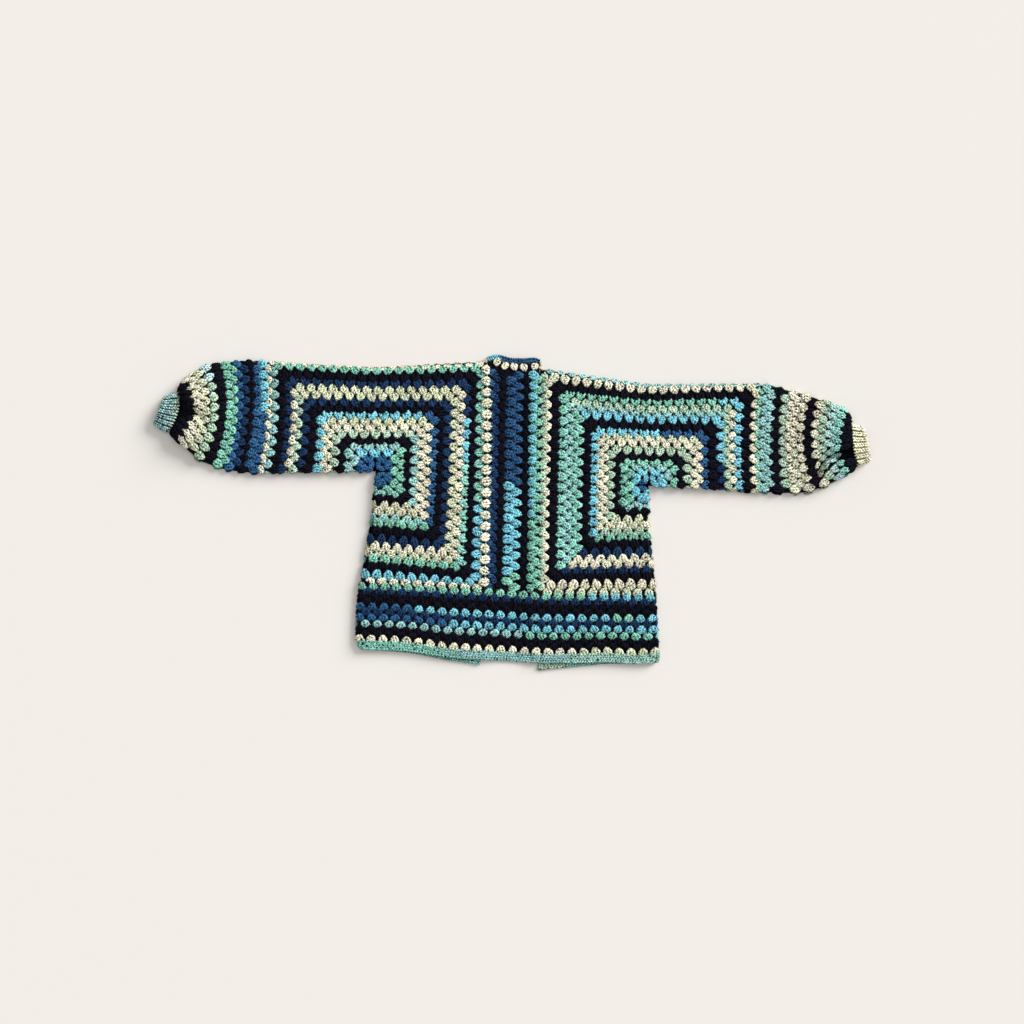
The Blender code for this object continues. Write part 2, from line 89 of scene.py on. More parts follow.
HEXAGONS = {
    "hexagon_left": {
        "underarm": (-266.9, 79.2), "sleeve_fold": (-497.1, 75.5), "sleeve_top": (-481.5, 293.9),
        "shoulder": (-266.9, 281), "neck": (-48.6, 293), "side_fold": (-296.2, -137.9),
        "front_x": -72, "joint_bow": 10.3, "side_bow": 7,
        # how far round 1 to 17 has got in each direction, from the underarm to the hexagon's edge
        "reach": {
            "sleeve": (.058, .116, .174, .232, .291, .350, .408, .454, .491, .580, .637, .699, .745, .797,
                       .857, .926, .975),
            "top": (*even(.06, 15), .965, .988), "centre": even(.05781, 17),
            "hem": (.05, .10, .155, .193, .231, .297, .342, .405, .449, .521, .598, .659, .717, .771, .842,
                    .910, .970)},
        # how far the rounds sit askew, in millimetres: axis, then tables over a and over b
        "askew": (
            (0, ((0, 0), (.45, .85), (.76, 1), (.96, .5), (1, .45)), ((-1, -9.5), (0, 0), (1, 6.5))),
            (1, ((0, 0), (.3, .4), (.55, 1), (1, 1)),
             ((0, 0), (.3, -.5), (.55, -3), (.78, -5), (.96, -3.5), (1, -1))),
            (1, ((0, 0), (1, 1)),
             ((-1, 0), (-.97, -3.6), (-.9, -9), (-.7, -14.5), (-.35, -12.5), (-.2, -8.7), (0, 0)))),
        "shades": {"sleeve": "DDAAKECCSKNECNKAC", "top": "DDSAKECMSKNMMNKGC",
                   "centre": "DDGGKACCDKNMCTKTC", "hem": "DDGTKOOAGKNCMGKSC"},
    },
    "hexagon_right": {
        "underarm": (267.7, 50.9), "sleeve_fold": (479.9, 40.4), "sleeve_top": (483.8, 249),
        "shoulder": (267.7, 247.5), "neck": (54.5, 279), "side_fold": (279, -160.3),
        "front_x": 60.6, "joint_bow": -6, "side_bow": -4,
        "reach": {
            "sleeve": (.058, .116, .174, .232, .289, .352, .416, .467, .516, .589, .673, .725, .774, .832,
                       .904, .975, 1.018),
            "top": (.072, .137, .183, .232, .290, .348, .421, .472, .523, .589, .655, .709, .749, .815,
                    .866, .935, .988),
            "centre": (.06, .12, .18, .240, .292, .355, .411, .453, .509, .579, .648, .697, .747, .803,
                       .880, .943, .976),
            "hem": (.05, .11, .174, .20, .225, .310, .358, .409, .465, .522, .598, .657, .713, .769, .833,
                    .903, .982)},
        "askew": (
            (0, ((0, 0), (.45, .6), (.8, 1), (.96, .7), (1, .6)), ((-1, -4.5), (0, 0), (1, 7))),
            (1, ((-.9, 1.3), (-.45, 1), (0, .4), (.5, 0)),
             ((.5, 0), (.65, 2.2), (.75, 4.2), (.92, 6), (.97, 3.6), (1, 0))),
            (1, ((0, 0), (.3, .3), (.5, 1)), ((.2, 0), (.5, -4.5), (.6, -1.8), (.75, 0))),
            (1, ((0, 0), (1, 1)), ((-1, 0), (-.85, -4), (-.7, -4.8), (-.6, -8), (-.3, -4), (0, 0)))),
        "shades": {"sleeve": "SSAGKECCDKSECSKCG", "top": "SSAGKECMSKSAEGKCA",
                   "centre": "DSGGKECCSKTTATKCE", "hem": "SSAAKMCEGKNCCNKCM"},
    },
}
# lower edge of the hexagons and the panel: x, y
LOWER_EDGE = ((-303, -137.8), (-226, -141), (-187, -143), (-126.6, -146.2), (-72, -149), (-48.6, -150.2),
              (47, -158), (54.5, -158.6), (140.6, -159.7), (181.5, -159.9), (290, -160.3))
ROUNDS = 17
EDGE = 5.9            # half the height of a rolled fold
SEAM_ROOM = 3.0
print("rounds in a hexagon:", ROUNDS)


# %% The chart of a hexagon
def mix(start, end, share):
    return start + (end - start) * share


def read(table, value, column=1):
    return np.interp(value, [row[0] for row in table], [row[column] for row in table])


def hexagon_plan(shape, a, b, front):
    """Plan point: a is -1 at the sleeve and 1 at the middle, b is 1 at the top."""
    x, y = even_plan(shape, a, b, front)
    if front:
        return x, y
    for axis, along_a, along_b in shape["askew"]:
        shift = read(along_a, a) * read(along_b, b)
        x, y = (x + shift, y) if axis == 0 else (x, y + shift)
    # the last round stays on its own side of the centre strip's seam
    seam = abs(shape["neck"][0]) + SEAM_ROOM
    return (min(x, -seam) if x < 0.0 else max(x, seam)), y


def even_plan(shape, a, b, front):
    inner = shape["front_x"] if front else shape["neck"][0]
    under, top = shape["underarm"], shape["shoulder"]
    if b >= 0.0 and a <= 0.0:
        low = [mix(under[n], shape["sleeve_fold"][n], -a) for n in (0, 1)]
        high = [mix(top[n], shape["sleeve_top"][n], -a) for n in (0, 1)]
        bow = shape["joint_bow"] * -a * 4.0 * b * (1.0 - b)
        return mix(low[0], high[0], b) + bow, mix(low[1], high[1], b)
    if b >= 0.0:
        high = mix(top[0], inner, a), mix(top[1], shape["neck"][1], a)
        return mix(mix(under[0], inner, a), high[0], b), mix(under[1], high[1], b)
    x = mix(mix(under[0], shape["side_fold"][0], -b), inner, a)
    x += shape["side_bow"] * 4.0 * -b * (1.0 + b) * (1.0 - a)
    return x, mix(under[1], read(LOWER_EDGE, x), -b)


print("underarms at", [shape["underarm"] for shape in HEXAGONS.values()])

# %% [markdown]
# ## Landing on the cloth
# A row is first a path in plan. To bring it on to the cloth, a ray is dropped on the solids
# from above for the back, or sent up from below for the front. Near a fold the path slows
# down, so that the points follow the roll of the cloth instead of jumping over it.

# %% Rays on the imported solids
def wall_tree(nodes):
    cloth = bmesh.new()
    for node in nodes:
        cloth.from_mesh(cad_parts[node].data)
    made = BVHTree.FromBMesh(cloth)
    cloth.free()
    return made


WALLS = {"": wall_tree(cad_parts), "front_band": wall_tree(["front_band"])}
LOOK = 0.7            # the ray's neighbours bridge the seams' gaps
NEARER = 1e-5


def land(x, y, front, only=""):
    """The cloth's outer surface at a plan point, in millimetres, with its normal."""
    way = 1.0 if front else -1.0
    best = None
    for dx, dy in ((0.0, 0.0), (LOOK, 0.0), (-LOOK, 0.0), (0.0, LOOK), (0.0, -LOOK)):
        hit = WALLS[only].ray_cast(Vector(((x + dx) * MM, (y + dy) * MM, -way)), Vector((0.0, 0.0, way)))
        if hit[0] is not None and (best is None or hit[0].z * way < best[0].z * way - NEARER):
            best = hit
    if best is None:
        return None
    normal = best[1] if best[1].z * way < 0.0 else -best[1]
    return (x, y, best[0].z / MM), tuple(normal)


INSET = 0.12          # a ray just inside the fold's edge still meets the cloth


def fold_steps(length, count):
    """Distances from a fold, close together on its roll and then even."""
    roll = [INSET + EDGE * (1.0 - cos(radians(angle))) for angle in range(0, 91, 15)]
    return roll + [mix(EDGE + INSET, length, (n + 1) / count) for n in range(count)]


print("middle of the back lies", round(land(-150.0, 50.0, False)[0][2], 1), "mm above the table")


# %% Paths with a place for every stitch
def smoothed(values, passes):
    values = np.array(values, float)
    for _ in range(passes):
        inner = (values[:-2] + values[1:-1] * 2.0 + values[2:]) / 4.0
        values = np.vstack((values[:1], inner, values[-1:]))
    return values


def unit(rows):
    return rows / np.linalg.norm(rows, axis=1, keepdims=True)


def trail(plan_path):
    """Lands a plan path (x, y, front): returns points and normals for those that hit."""
    spots = [land(*place) for place in plan_path]
    last = next(spot for spot in spots if spot)
    kept = []
    for place, spot in zip(plan_path, spots):
        last = spot or ((*place[:2], last[0][2]), last[1])
        kept.append(last)
    points = smoothed([spot[0] for spot in kept], 1)
    normals = smoothed([spot[1] for spot in kept], 2)
    return points, unit(normals)


STEP = 0.35           # the neighbouring paths, in rows, that show where the fabric grows


def places(path_at, row, count, shift=0.0, gap=1.0):
    """Spreads stitches evenly along a row, whose plan path is path_at(row), shift stitches on."""
    points, normals = trail(path_at(row))
    ahead, behind = (np.array([place[:2] for place in path_at(row + step * gap)]) for step in (STEP, -STEP))
    run = np.concatenate(((0.0,), np.cumsum(np.linalg.norm(np.diff(points, axis=0), axis=1))))
    at = (np.arange(count) + 0.5 + shift) / count * run[-1]
    at = at[at < run[-1]]

    def pick(column):
        return np.stack([np.interp(at, run, column[:, n]) for n in range(column.shape[1])], axis=1)

    up = unit(pick(normals))
    # a stitch stands square to its row, on the side to which the rows grow
    way = np.cross(up, pick(np.gradient(points, axis=0)))
    way /= np.maximum(np.linalg.norm(way, axis=1, keepdims=True), 1e-6)
    onward = np.sum(way[:, :2] * pick(ahead - behind), axis=1, keepdims=True)
    way *= np.where(onward < 0.0, -1.0, 1.0)
    return {"at": pick(points), "up": up, "way": way, "gap": np.abs(onward[:, 0]) / (2.0 * STEP),
            "pitch": np.full(len(at), run[-1] / count)}


# %% [markdown]
# ## One cluster
# A granny cluster is three trebles worked into the same space: three posts that stand
# together on the row below and spread to a wider top. Each post is a strand wound round
# itself, so it swells and narrows. Its foot wraps over the chain below, so it lies higher
# than its head, and the next row's feet cover its head in turn. Four versions of it are
# made, with few faces, and Geometry Nodes places them a few thousand times.

# %% Build the posts
def strand(mesh, line, radii, sides, cell, run=0.0):
    """A tube along a line, with the attributes that the yarn's material reads."""
    turn_layer, run_layer, painted_light_layer = cell
    line = np.array(line, float)
    rings = []
    for n, centre in enumerate(line):
        # each ring stands square to the line between its neighbours
        ahead = line[min(n + 1, len(line) - 1)] - line[max(n - 1, 0)]
        ahead /= np.linalg.norm(ahead)
        across = np.cross(ahead, (0.0, 0.0, 1.0))
        across /= np.linalg.norm(across)
        over = np.cross(across, ahead)
        if n:
            run += float(np.linalg.norm(centre - line[n - 1]))
        ring = []
        for k in range(sides):
            angle = 2.0 * pi * (k + 0.5) / sides
            spot = mesh.verts.new(centre + (across * cos(angle) + over * sin(angle)) * radii[n])
            spot[turn_layer] = Vector((cos(angle), sin(angle), 0.0))
            spot[run_layer] = run
            # painted light: near 1 on the strand's upper side for a painted highlight, near 0 under it for
            # painted shade
            spot[painted_light_layer] = 0.5 + 0.5 * sin(angle)
            ring.append(spot)
        rings.append(ring)
    for low, high in zip(rings, rings[1:]):
        for k in range(sides):
            mesh.faces.new((low[k], low[(k + 1) % sides], high[(k + 1) % sides], high[k]))
    mesh.faces.new(rings[0][::-1])
    mesh.faces.new(rings[-1])


NEXT_TWIST = 2.3      # each strand's twist starts at another place


def stitch(name, strands):
    """A stitch out of strands; its unit is a millimetre, +Y grows away from the row below."""
    mesh = bmesh.new()
    cell = (mesh.verts.layers.float_vector.new("turn"), mesh.verts.layers.float.new("run"),
            mesh.verts.layers.float.new("crest"))
    for n, (line, radii, sides) in enumerate(strands):
        strand(mesh, line, radii, sides, cell, NEXT_TWIST * n)
    bmesh.ops.recalc_face_normals(mesh, faces=mesh.faces)
    data = bpy.data.meshes.new(name)
    mesh.to_mesh(data)
    mesh.free()
    data.transform(Matrix.Scale(MM, 4))
    data.shade_smooth()
    print(name, "has", len(data.polygons), "faces")
    return bpy.data.objects.new(name, data)


# along, radius, spread of the side posts, height
POST = ((-8.8, 1.9, 1, 2.3), (-5.6, 3, 3.2, 3), (-.8, 3.7, 5.4, 2.1), (4.2, 3.5, 5.8, .8),
        (9.8, 2, 2.6, -.8))
CHAIN = [(-9.6, 2.4, -1.6), (-4, 3.6, -.6), (4, 3.6, -.6), (9.6, 2.4, -1.6)]
WAIST = 0.72
SHORTER = 0.1         # the side posts are a tenth shorter than the middle one
# how the middle post leans, and the ring at which each post is drawn in: left, right, middle
CASTS = ((2.4, (2, 3, 1)), (-2.4, (1, 2, 3)), (1.5, (3, 1, 2)), (-1.2, (2, 1, 3)))
clusters = bpy.data.collections.new("treble_clusters")
for n, (lean, waists) in enumerate(CASTS):
    posts = []
    for side, waist in zip((-1.0, 1.0, 0.0), waists):
        # the middle post crosses over the side posts
        sway, lift = (1.0, 0.5) if side == 0.0 else (0.3, 0.0)
        line = [(side * spread + sway * lean * along / 6.0, along * (1.0 - SHORTER * abs(side)),
                 height + lift) for along, radius, spread, height in POST]
        radii = [row[1] * (WAIST if ring == waist else 1.0) for ring, row in enumerate(POST)]
        posts.append((line, radii, 5))
    posts.append((CHAIN, [1.4, 1.5, 1.5, 1.4], 4))
    clusters.objects.link(stitch(f"treble_cluster_{n}", posts))

# %% [markdown]
# ## Nodes as Python expressions
# The tree that places the stitches and the materials are both made of nodes. A small class
# wraps a node's socket, so that sums and products of sockets add their Math nodes by
# themselves, and one method adds every other node.

# %% A wire from a node's socket
def set_inputs(node, **inputs):
    """Fills a node's inputs: i0, i1 and so on by number, the others by name."""
    for key, value in inputs.items():
        numbered = key[0] == "i" and key[1:].isdigit()
        target = node.inputs[int(key[1:]) if numbered else key.replace("_", " ")]
        if isinstance(value, Wire):
            value.tree.links.new(value.socket, target)
        else:
            target.default_value = value


class Wire:
    """A socket that can be added to and multiplied. The first one of a tree has no socket."""

    def __init__(self, tree, socket=None):
        self.tree, self.socket = tree, socket

    def node(self, kind, settings=None, **inputs):
        """Adds a node."""
        made = self.tree.nodes.new(kind)
        for key, value in (settings or {}).items():
            setattr(made, key, value)
        set_inputs(made, **inputs)
        return made

    def out(self, kind, settings=None, output=0, **inputs):
        """Adds a node and gives the wire from one of its outputs."""
        return Wire(self.tree, self.node(kind, settings, **inputs).outputs[output])

    def math(self, operation, *values):
        inputs = {f"i{n}": value for n, value in enumerate(values)}
        return self.out("ShaderNodeMath", {"operation": operation}, **inputs)

    def __add__(self, other):
        return self.math("ADD", self, other)

    def __mul__(self, other):
        return self.math("MULTIPLY", self, other)

    def __sub__(self, other):
        return self.math("SUBTRACT", self, other)

    def __rsub__(self, other):
        return self.math("SUBTRACT", other, self)

    __radd__ = __add__
    __rmul__ = __mul__

    def sin(self):
        return self.math("SINE", self)

    def cos(self):
        return self.math("COSINE", self)


# %% [markdown]
# ## Working a fabric
# A fabric is a cloud of points, one for each stitch, that carries the direction in which it
# grows, its upright, its size and its shade. A Geometry Nodes tree turns every point into a
# stitch. The result becomes a plain mesh, because an exported model can't hold instances.

# %% The tree that works the stitches
ENTRIES = {"Geometry": "Geometry", "Stitches": "Collection", "Yarn": "Material", "Unevenness": "Float"}


def stitch_tree(name):
    tree = bpy.data.node_groups.new(name, "GeometryNodeTree")
    for title, kind in ENTRIES.items():
        tree.interface.new_socket(title, in_out="INPUT", socket_type="NodeSocket" + kind)
    tree.interface.new_socket("Geometry", in_out="OUTPUT", socket_type="NodeSocketGeometry")
    start = Wire(tree)
    entry = start.node("NodeGroupInput")
    points, casts, yarn, uneven = (Wire(tree, entry.outputs[title]) for title in ENTRIES)

    def named(attribute):
        kind = {"data_type": "FLOAT_VECTOR"}
        return start.out("GeometryNodeInputNamedAttribute", kind, "Attribute", Name=attribute)

    cast = start.out("GeometryNodeCollectionInfo", Collection=casts, Separate_Children=True)
    which = start.out("FunctionNodeRandomValue", {"data_type": "INT"}, 2, i4=0, i5=11, Seed=3)
    turned = start.out("FunctionNodeAxesToRotation", {"primary_axis": "Z", "secondary_axis": "Y"},
                       Primary_Axis=named("up"), Secondary_Axis=named("way"))
    swing = start.out("FunctionNodeRandomValue", {"data_type": "FLOAT_VECTOR"},
                      Min=uneven * -1.0, Max=uneven, Seed=7)
    stretch = named("stretch")
    size = start.out("ShaderNodeVectorMath", {"operation": "MULTIPLY_ADD"}, i0=swing, i1=stretch,
                     i2=stretch)
    placed = start.out("GeometryNodeInstanceOnPoints", Points=points, Instance=cast, Pick_Instance=True,
                       Instance_Index=which, Rotation=turned, Scale=size)
    real = start.out("GeometryNodeRealizeInstances", Geometry=placed)
    dressed = start.out("GeometryNodeSetMaterial", Geometry=real, Material=yarn)
    start.node("NodeGroupOutput", Geometry=dressed)
    return tree


worker = stitch_tree("work_stitches")
print("tree:", len(worker.nodes), "nodes")


# %% From points to a finished mesh
def new_object(name, data):
    """An object in the scene's own collection."""
    made = bpy.data.objects.new(name, data)
    bpy.context.scene.collection.objects.link(made)
    return made


UNEVEN = 0.08         # how much the stitches differ in size
SQUASH = 0.1          # what is left of the stitches' depth under the garment


def work(node, kind, stitches, casts):
    """Works a stitch at every point of a fabric. stitches is a list of dicts of arrays."""
    name = node + kind
    gathered = {key: np.concatenate([part[key] for part in stitches])
                for key in ("at", "up", "way", "stretch", "shade")}
    cloud = bpy.data.meshes.new(name + "_points")
    cloud.from_pydata([tuple(point * MM) for point in gathered["at"]], [], [])
    for key in ("up", "way", "stretch"):
        layer = cloud.attributes.new(key, "FLOAT_VECTOR", "POINT")
        layer.data.foreach_set("vector", gathered[key].astype(np.float32).ravel())
    layer = cloud.attributes.new("shade", "FLOAT_COLOR", "POINT")
    layer.data.foreach_set("color", gathered["shade"].astype(np.float32).ravel())
    points = new_object(name + "_points", cloud)
    made = points.modifiers.new("stitches", "NODES")
    made.node_group = worker
    values = {"Stitches": casts, "Yarn": yarn, "Unevenness": UNEVEN}
    for item in worker.interface.items_tree:
        if item.in_out == "INPUT" and item.name in values:
            made[item.identifier] = values[item.name]
    seen = points.evaluated_get(bpy.context.evaluated_depsgraph_get())
    mesh = bpy.data.meshes.new_from_object(seen)
    mesh.name = name
    bpy.data.objects.remove(points)
    # the table presses the stitches flat
    spots = np.empty(len(mesh.vertices) * 3, np.float32)
    mesh.vertices.foreach_get("co", spots)
    height = spots[2::3]
    spots[2::3] = np.where(height < 0.0, height * SQUASH, height)
    mesh.vertices.foreach_set("co", spots)
    piece = new_object(name, mesh)
    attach(piece, "root")
    print(name, "has", len(gathered["at"]), "stitches and", len(mesh.polygons), "faces")


# %% The colours of a row's stitches
chance = np.random.default_rng(11)


def dyed(letters, glow=0.14):
    """Colours for a list of shade letters, each stitch a little lighter or darker."""
    colours = np.array([SHADES[letter] for letter in letters])
    colours *= 1.0 + glow * chance.uniform(-1.0, 1.0, (len(letters), 1))
    colours *= 1.0 + 0.2 * glow * chance.uniform(-1.0, 1.0, colours.shape)
    return np.hstack((np.clip(colours, 0.0, 1.0), np.ones((len(letters), 1))))


# %% [markdown]
# ## Yarn
# Soft matt wool or acrylic: it scatters light at its fuzz, so it has no clear gloss. Its colour
# carries painted shade in the grooves where the plies twist round each other, a painted
# highlight on each strand's upper side with painted shade under it, and painted shade in
# small pits between the loops. The twist follows each strand by the attributes that the
# strands carry, so it needs no unwrapping.

# %% The yarn's material
TWIST = 1.35                  # radians in a millimetre of strand
GROOVE_PAINTED_SHADE = 0.62                 # how much painted shade darkens the groove between the plies
HAIRS, HAIR_DEPTH = 700.0, 0.5
SLUBS, SLUB_DEPTH = 240.0, 0.9
PIT_SHADE_SCALE, PIT_SHADE_DEPTH = 175.0, 3.6  # painted shade in the small pits that the loops of the yarn wind round
# how much the painted highlight on a strand's upper side and the painted shade under it change its colour
UNDER_PAINTED_LIGHT, TOP_PAINTED_LIGHT = 0.5, 0.85
BRIGHT = 1.45
MATT = 0.88
FAINT_GLOSS = 0.03


def carried(start, name, output="Fac"):
    """What the strands carry as an attribute."""
    return start.out("ShaderNodeAttribute", {"attribute_name": name}, output)


def noise(start, where, scale, detail):
    return start.out("ShaderNodeTexNoise", None, "Fac", Vector=where, Scale=scale, Detail=detail)


def blank_material(name):
    material = bpy.data.materials.new(name)
    material.use_nodes = True
    start = Wire(material.node_tree)
    where = start.out("ShaderNodeTexCoord", None, "Object")
    return material, start, material.node_tree.nodes["Principled BSDF"], where


def yarn_material(name):
    material, start, shader, where = blank_material(name)
    turn = start.node("ShaderNodeSeparateXYZ", Vector=carried(start, "turn", "Vector"))
    across, over = Wire(start.tree, turn.outputs[0]), Wire(start.tree, turn.outputs[1])
    run = carried(start, "run") * TWIST
    # two plies: sin(run + 2 angle), where the strand carries the angle's cosine and sine
    ply = run.sin() * (across * across - over * over) + run.cos() * (across * over * 2.0)
    hair, slub = noise(start, where, HAIRS, 3.0), noise(start, where, SLUBS, 2.0)
    painted_pit_shade = start.out("ShaderNodeTexVoronoi", {"feature": "DISTANCE_TO_EDGE"}, "Distance",
                     Vector=where, Scale=PIT_SHADE_SCALE)
    # painted shade in the groove between the plies
    light = (ply * 0.5 + 0.5) * GROOVE_PAINTED_SHADE + (1.0 - GROOVE_PAINTED_SHADE)
    light = light + (hair - 0.5) * HAIR_DEPTH + (slub - 0.5) * SLUB_DEPTH
    # painted highlight on the strands' upper sides, painted shade under them and in the pits between the
    # loops
    light = light * (carried(start, "crest") * TOP_PAINTED_LIGHT + UNDER_PAINTED_LIGHT) * (BRIGHT - painted_pit_shade * PIT_SHADE_DEPTH)
    shade = carried(start, "shade", "Color")
    tinted = start.out("ShaderNodeVectorMath", {"operation": "SCALE"}, i0=shade, Scale=light)
    bump = start.out("ShaderNodeBump", Height=ply * 0.6 + hair * 0.5, Strength=0.5, Distance=0.0006)
    set_inputs(shader, Base_Color=tinted, Normal=bump, Roughness=MATT, Specular_IOR_Level=FAINT_GLOSS)
    return material


yarn = yarn_material("striped_yarn")
print("yarn nodes:", len(yarn.node_tree.nodes))

# %% [markdown]
# ## The hexagons
# A round has six sides: two on the back, two on the front, one round the fold under the
# sleeve and one round the fold at the side of the body. A granny round has one cluster more on
# each side than the one before it, and that is what sets the rows half a cluster apart.

# %% Six sides of a round
BEYOND = 0.04         # how much a round past the last one would add
SMALLEST, LARGEST, SHOULDER = 0.002, 1.03, 0.992


def reach(shape, side, row):
    """How far a round has got on one side, as a share of the way to the hexagon's edge."""
    table = (0.0,) + shape["reach"][side]
    share = np.interp(row, range(ROUNDS + 1), table) + max(row - ROUNDS, 0.0) * BEYOND
    return min(max(share, SMALLEST), SHOULDER if side == "top" else LARGEST)


SIDES = (("sleeve", "fold"), ("hem", "fold"), ("top", "back"), ("centre", "back"), ("top", "front"),
         ("centre", "front"))


def side_path(shape, side, face, row):
    """Plan path of one of the six sides of a round."""
    height = shape["shoulder"][1] - shape["underarm"][1]
    width = abs(shape["neck"][0] - shape["underarm"][0])
    sleeve, top, centre, hem = (reach(shape, name, row) for name in ("sleeve", "top", "centre", "hem"))

    def line(points, front):
        return [(*hexagon_plan(shape, a, b, front), front) for a, b in points]

    if side == "sleeve":
        half = [(-sleeve, min(step / height, top)) for step in fold_steps(top * height, 12)]
        return line(reversed(half), True) + line(half, False)
    if side == "hem":
        half = [(min(step / width, centre), -hem) for step in fold_steps(centre * width, 12)]
        return line(reversed(half), False) + line(half, True)
    start, end = ((-sleeve, top), (centre, top)) if side == "top" else ((centre, top), (centre, -hem))
    steps = 24
    return line([[mix(start[n], end[n], step / steps) for n in (0, 1)] for step in range(steps + 1)],
                face == "front")


def side_count(row):
    """Clusters on a side: one more each round, and one more at a few places as counted."""
    return max(row, 2) + (row > 4) + (row > 9) + (row > 14)


print("clusters in the first and last round:", 6 * side_count(1), 6 * side_count(ROUNDS))

# %% Shades along a row
# places where the yarn's colour changes along a row: row, axis, from, to, shade
CHANGES = {
    ("hexagon_left", "top"): ((9, 0, -170, 0, "D"),),
    ("hexagon_left", "centre"): ((14, 1, 180, 400, "N"), (14, 1, 105, 180, "S"),
                                 (16, 1, -400, 25, "S")),
    ("hexagon_right", "top"): ((9, 0, 298, 500, "D"), (14, 0, 402, 500, "S")),
    ("hexagon_right", "sleeve"): ((11, 1, -10, 96, "N"),),
}
BLUR = 14.0           # the dense hem band changes its shade little by little


def dye(part, row_set, row, letter, glow=0.14):
    """Dyes a row in its shade, and in others where CHANGES says so."""
    spots = part["at"]
    letters = [letter] * len(spots)
    if row_set[0] == "hem_band":
        spots = spots + chance.normal(0.0, BLUR, (len(spots), 1))
    for which, axis, low, high, other in CHANGES.get(row_set, ()):
        if which == row:
            letters = [other if low <= spot[axis] <= high else old for spot, old in zip(spots, letters)]
    part["shade"] = dyed(letters, glow)


print("changes of yarn within a row:", sum(len(rows) for rows in CHANGES.values()))

# %% The size of the clusters
WIDE, LONG = 21.0, 12.3   # a cluster is drawn for this pitch along a row and between rows
LEAST_GAP, MOST_GAP = 9.6, 15.0
UNDERSIDE = -0.3      # a normal's height below which a stitch is on the front
BACK_LIFT, FRONT_SINK = -0.9, 1.5
FOLD_SINK = 2.8       # at a fold the clusters are pulled in to the roll
ROLLED, STEEP = 0.55, 0.6
FLAT, UNDER_FLAT = 0.64, 0.3


def sized(part):
    """Fits the stitches to the room that their row gives them, and lays the front's flat."""
    facing = part["up"][:, 2]
    under = facing < UNDERSIDE
    gap = np.clip(part["gap"], LEAST_GAP, MOST_GAP)
    # on the roll of a fold a cluster is drawn in, so that it doesn't stand off the cloth
    wide = part["pitch"] / WIDE * (ROLLED + (1.0 - ROLLED) * np.abs(facing))
    long = gap / LONG * (1.0 - STEEP * np.abs(part["way"][:, 2]))
    part["stretch"] = np.stack((wide, long, np.where(under, UNDER_FLAT, FLAT)), axis=1)
    sink = np.where(under, -FRONT_SINK, BACK_LIFT - FOLD_SINK * (1.0 - np.abs(facing)))
    part["at"] = part["at"] + part["up"] * sink[:, None]
    return part


def laid(hits, ways, pitch):
    """Stitches at places of their own; hits are points with their normals."""
    return {"at": np.array([hit[0] for hit in hits]), "up": np.array([hit[1] for hit in hits]),
            "way": np.array(ways), "pitch": np.full(len(hits), pitch)}


# %% Work the hexagons
# how long the last round's clusters are, and how they are shifted: at the top they bend over
# the shoulder's seam, behind the round before, and the left ones reach over the centre strip
LAST_ROUND = {("hexagon_left", "top", "back"): (.55, (0, 0, -1.3)),
              ("hexagon_right", "top", "back"): (.55, (0, 0, -1.3)),
              ("hexagon_left", "centre", "back"): (1.12, (1.2, 0, 1.5))}
for node, shape in HEXAGONS.items():
    parts = []
    for side, face in SIDES:
        path = partial(side_path, shape, side, face)
        for row in range(1, ROUNDS + 1):
            part = sized(places(path, row, side_count(row)))
            dye(part, (node, side), row, shape["shades"][side][row - 1])
            if row == ROUNDS and (node, side, face) in LAST_ROUND:
                part["stretch"][:, 1], shift = LAST_ROUND[node, side, face]
                part["at"] += shift
            parts.append(part)
    work(node, "_clusters", parts, clusters)

# %% [markdown]
# ## The sleeves
# From the hexagon on, a sleeve is worked in plain rounds, drawn in towards the cuff. Its
# shape is a list of sections, each from its top edge to its bottom edge.

# %% Sections and rounds of the sleeves
# top x, top y, bottom x, bottom y, how far the middle bows
SLEEVES = {
    "sleeve_left": (
        (-481.5, 293.9, -497.1, 75.5, 10.3), (-503.9, 294.5, -523.4, 77.4, 10.7),
        (-531.2, 294.5, -547.8, 80.5, 12.3), (-558.5, 291.9, -575.1, 86.8, 17),
        (-588.7, 286.1, -602.4, 97.1, 20), (-608.2, 278.9, -621.9, 110.8, 20),
        (-627.7, 267.7, -641.4, 128.3, 23), (-640.4, 255.6, -656, 140, 22),
        (-648.2, 243.4, -662.8, 149.8, 19), (-645.6, 233.2, -667.3, 157.4, 8)),
    "sleeve_right": (
        (483.8, 249, 479.9, 40.4, -6), (507.2, 246.3, 503.3, 38, -7), (530.6, 238.9, 530.6, 36.7, -8),
        (556, 232.6, 561.8, 37, -16), (577.4, 226.8, 585.2, 40.6, -17), (600.8, 220.2, 608.6, 49.3, -18),
        (624.2, 212.2, 632, 61, -19), (643.7, 202.4, 649.5, 70.8, -18), (657.3, 188.8, 664.1, 79.6, -12),
        (661.6, 168.5, 673.5, 93.8, -5)),
}
# shades, how far down the sleeve each round lies, how many clusters it has, and how much
# further down it lies at the folds than in its middle
SLEEVE_ROWS = {
    "sleeve_left": (
        "SDKNDGGKEMCCKK",
        (.033, .11, .187, .259, .33, .395, .466, .556, .648, .733, .803, .868, .93, .985),
        (22,) * 7 + (21,) + (20,) * 4 + (18,) * 2,
        (0,) * 7 + (.02, .04, .055, .065, .065, .03, 0)),
    "sleeve_right": (
        "AAKECCCKCEPTKK",
        (.07, .13, .209, .293, .376, .439, .512, .589, .670, .735, .815, .884, .945, .99),
        (20,) * 8 + (19,) * 4 + (16,) * 2,
        (0,) * 14),
}
SLEEVE_FILL = 1.1     # the puffed sleeves stretch their clusters

# %% The dent in each sleeve
# where a puffed sleeve is pressed in: a line in plan, the depth and the half width
DENTS = {"sleeve_left": (((-652, 197), (-626, 190), (-604, 186)), 10, 12),
         "sleeve_right": (((664, 117), (618, 105), (603, 93), (597, 75)), 18, 9)}


